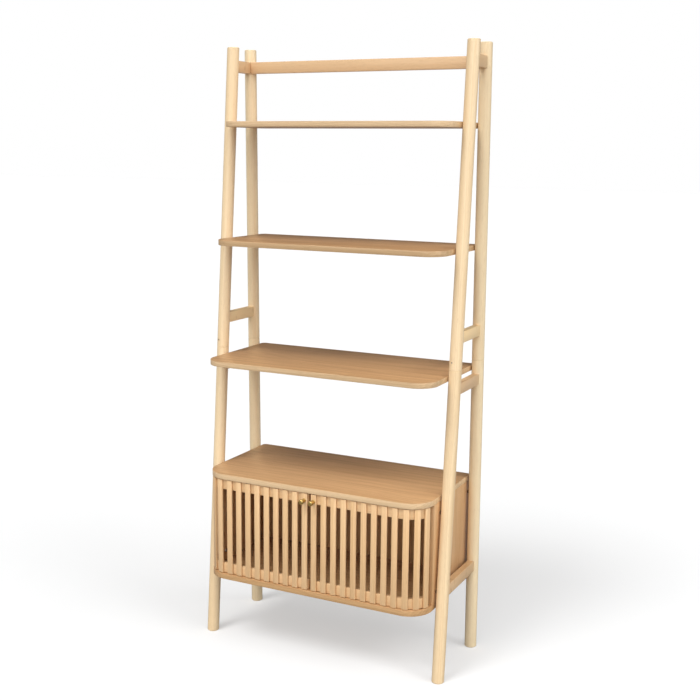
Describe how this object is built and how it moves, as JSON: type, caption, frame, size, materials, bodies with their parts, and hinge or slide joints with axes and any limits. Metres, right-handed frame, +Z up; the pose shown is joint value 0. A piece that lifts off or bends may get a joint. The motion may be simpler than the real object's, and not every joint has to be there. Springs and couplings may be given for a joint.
{
  "type": "ladder shelf",
  "caption": "Freestanding ladder shelf on round leaning poles, with open shelves with rounded corners above a cabinet closed by curved slatted doors with small brass knobs.",
  "frame": {"origin": "on the floor, in the middle of the overall width and depth", "axes": "+Z up, the doors face -Y, +X towards the right-hand ladder as seen from the front"},
  "size_m": [0.802, 0.383, 1.8],
  "materials": {
    "pole_wood": "satin lacquer",
    "rail_wood": "satin lacquer",
    "board_wood": "satin lacquer",
    "slat_wood": "satin lacquer",
    "knob_brass": "polished",
    "pin_steel": "zinc plated",
    "catch_plastic": "matte"
  },
  "bodies": {
    "frame": {"front_pole_lower_left": "pole_wood", "front_pole_upper_left": "pole_wood", "rear_pole_lower_left": "pole_wood", "rear_pole_upper_left": "pole_wood", "top_side_rail_left": "rail_wood", "middle_side_rail_left": "rail_wood", "shelf_side_rail_left": "rail_wood", "bottom_side_rail_left": "rail_wood", "front_pole_lower_right": "pole_wood", "front_pole_upper_right": "pole_wood", "rear_pole_lower_right": "pole_wood", "rear_pole_upper_right": "pole_wood", "top_side_rail_right": "rail_wood", "middle_side_rail_right": "rail_wood", "shelf_side_rail_right": "rail_wood", "bottom_side_rail_right": "rail_wood", "long_top_rail": "rail_wood", "top_shelf": "board_wood", "middle_shelf": "board_wood", "lower_shelf": "board_wood", "cabinet_top": "board_wood", "cabinet_bottom": "board_wood", "cabinet_side_left": "board_wood", "cabinet_side_right": "board_wood", "cabinet_back": "board_wood", "door_catch": "catch_plastic"},
    "left_door": {"left_door_bottom_rail": "rail_wood", "left_door_top_rail": "rail_wood", "left_door_slat_01": "slat_wood", "left_door_slat_02": "slat_wood", "left_door_slat_03": "slat_wood", "left_door_slat_04": "slat_wood", "left_door_slat_05": "slat_wood", "left_door_slat_06": "slat_wood", "left_door_slat_07": "slat_wood", "left_door_slat_08": "slat_wood", "left_door_slat_09": "slat_wood", "left_door_slat_10": "slat_wood", "left_door_slat_11": "slat_wood", "left_door_slat_12": "slat_wood", "left_door_knob": "knob_brass", "left_door_lower_pin": "pin_steel", "left_door_upper_pin": "pin_steel"},
    "right_door": {"right_door_bottom_rail": "rail_wood", "right_door_top_rail": "rail_wood", "right_door_slat_01": "slat_wood", "right_door_slat_02": "slat_wood", "right_door_slat_03": "slat_wood", "right_door_slat_04": "slat_wood", "right_door_slat_05": "slat_wood", "right_door_slat_06": "slat_wood", "right_door_slat_07": "slat_wood", "right_door_slat_08": "slat_wood", "right_door_slat_09": "slat_wood", "right_door_slat_10": "slat_wood", "right_door_slat_11": "slat_wood", "right_door_slat_12": "slat_wood", "right_door_knob": "knob_brass", "right_door_lower_pin": "pin_steel", "right_door_upper_pin": "pin_steel"}
  },
  "joints": [
    {"name": "left_door_hinge", "type": "hinge", "parent": "frame", "child": "left_door", "pos_m": [-0.34001, -0.12485, 0.3775], "axis": [0, 0, -1], "range_deg": [0, 100]},
    {"name": "right_door_hinge", "type": "hinge", "parent": "frame", "child": "right_door", "pos_m": [0.34001, -0.12485, 0.3775], "axis": [0, 0, 1], "range_deg": [0, 100]}
  ]
}
